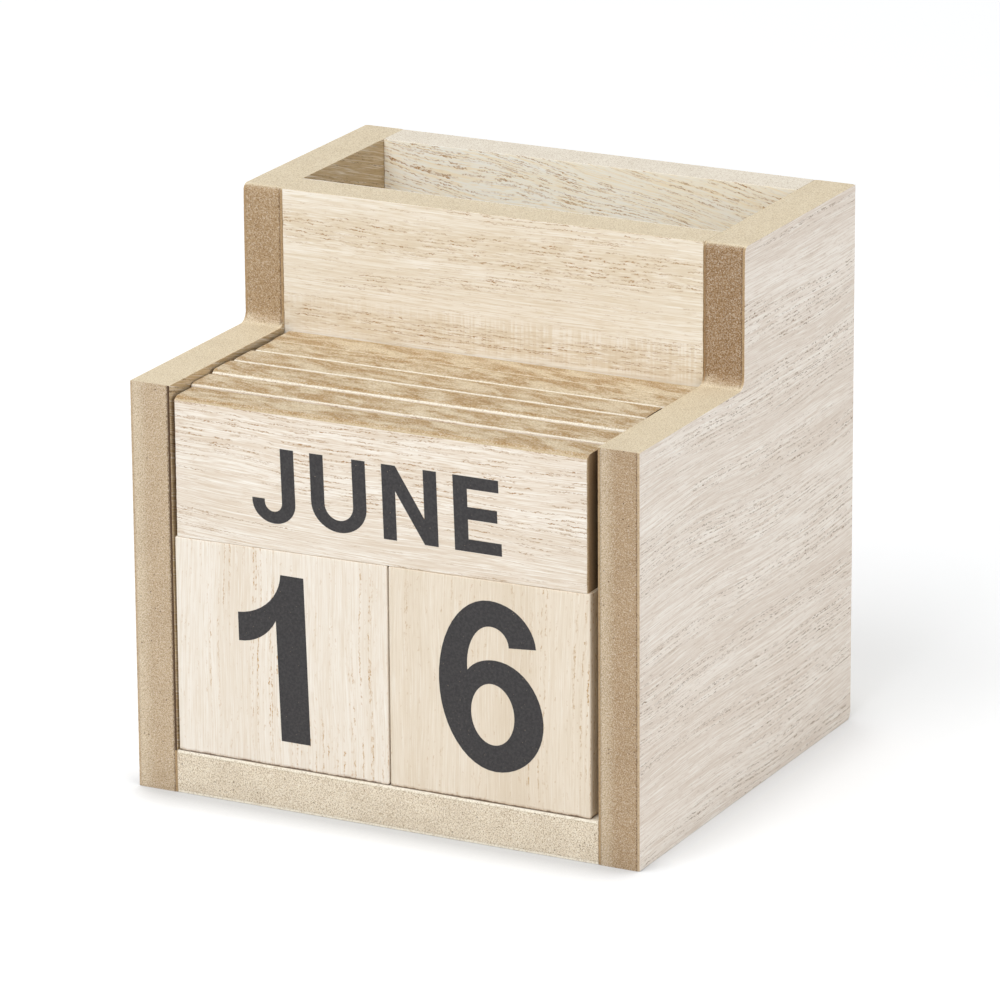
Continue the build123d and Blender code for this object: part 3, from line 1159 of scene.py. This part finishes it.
def stage_material():
    """A pale floor, lifted towards white where the camera sees it, and shaded close round the object."""
    t = Tree("stage_floor")
    for key, value in (("Base Color", FLOOR_COLOUR), ("Roughness", 0.9), ("Specular IOR Level", 0.0)):
        t.shader.inputs[key].default_value = value
    nook = t.add("ShaderNodeAmbientOcclusion", {"Distance": CONTACT_REACH})
    position = t.add("ShaderNodeNewGeometry").outputs["Position"]
    front_y = cad_bounds[0][1]
    deepest = t.span(
        t.split(position)[1], front_y - 2 * MM, front_y + 8 * MM, CONTACT_FRONT, CONTACT_SIDE, "LINEAR"
    )
    contact = t.span(nook.outputs["AO"], CONTACT_START, CONTACT_END, deepest, 1.0, "LINEAR")
    seen = t.add("ShaderNodeLightPath").outputs["Is Camera Ray"]
    lift = t.add("ShaderNodeEmission", {"Strength": t.times(seen, FLOOR_LIFT)})
    lit = t.add("ShaderNodeAddShader", {0: t.shader.outputs[0], 1: lift.outputs[0]})
    dark = t.add("ShaderNodeEmission", {"Strength": 0.0})
    shaded = t.add("ShaderNodeMixShader", {0: contact, 1: dark.outputs[0], 2: lit.outputs[0]})
    t.link(shaded.outputs[0], t.output.inputs["Surface"])
    return t.material


def stage_floor():
    """The ground, just under the object."""
    mesh = bpy.data.meshes.new("stage_floor")
    corners = []
    for x, y in ((-1, -1), (1, -1), (1, 1), (-1, 1)):
        corners.append((x * FLOOR_REACH, y * FLOOR_REACH, -FLOOR_DROP))
    mesh.from_pydata(corners, [], [(0, 1, 2, 3)])
    mesh.materials.append(stage_material())
    add_object("stage_floor", mesh)


def stage_world():
    """Surroundings that are white to the camera and a weaker light on the object."""
    world = bpy.data.worlds.new("studio")
    bpy.context.scene.world = world
    world.use_nodes = True
    tree = world.node_tree
    background = tree.nodes["Background"]
    ray = tree.nodes.new("ShaderNodeLightPath")
    strength = tree.nodes.new("ShaderNodeMapRange")
    tree.links.new(ray.outputs["Is Camera Ray"], strength.inputs["Value"])
    strength.inputs["To Min"].default_value = WORLD_STRENGTH
    strength.inputs["To Max"].default_value = 1.0
    tree.links.new(strength.outputs[0], background.inputs["Strength"])
    background.inputs["Color"].default_value = (1, 1, 1, 1)


def soft_box(name, location, size, power):
    """A square lamp that faces the object."""
    light = bpy.data.lights.new(name, "AREA")
    light.shape = "SQUARE"
    light.size = size
    light.energy = power
    lamp = add_object(name, light)
    lamp.location = location
    lamp.rotation_euler = (LAMP_AIM - Vector(location)).to_track_quat("-Z", "Y").to_euler()


def photo_camera():
    """The camera at the photograph's angle, distance and framing."""
    sin_azimuth, cos_azimuth = math.sin(CAMERA_AZIMUTH), math.cos(CAMERA_AZIMUTH)
    level = math.cos(CAMERA_ELEVATION)
    right = Vector((cos_azimuth, sin_azimuth, 0))
    back = Vector((sin_azimuth * level, -cos_azimuth * level, math.sin(CAMERA_ELEVATION)))
    up = back.cross(right)
    turned_right = right * math.cos(CAMERA_ROLL) + up * math.sin(CAMERA_ROLL)
    turned_up = back.cross(turned_right)
    camera = bpy.data.cameras.new("photo_camera")
    camera.sensor_width = CAMERA_SENSOR
    camera.lens = CAMERA_LENS
    camera.clip_end = CAMERA_SIGHT
    seat = add_object("photo_camera", camera)
    turn = Matrix((turned_right, turned_up, back)).transposed().to_4x4()
    seat.matrix_world = Matrix.Translation(CAMERA_PLACE) @ turn
    bpy.context.scene.camera = seat


plank_cores = [n for n in NODES if n.startswith("month_plank") and n.endswith("core")]
numbers_of_planks = sorted(int(n.split("_")[2]) for n in plank_cores)
side_panels()
floor_board()
cross_boards()
month_planks(numbers_of_planks)
day_blocks()
prints(numbers_of_planks)

stage_floor()
stage_world()
for lamp_name, lamp_settings in LAMPS.items():
    soft_box(lamp_name, *lamp_settings)
photo_camera()
bpy.context.scene.view_settings.view_transform = "Standard"
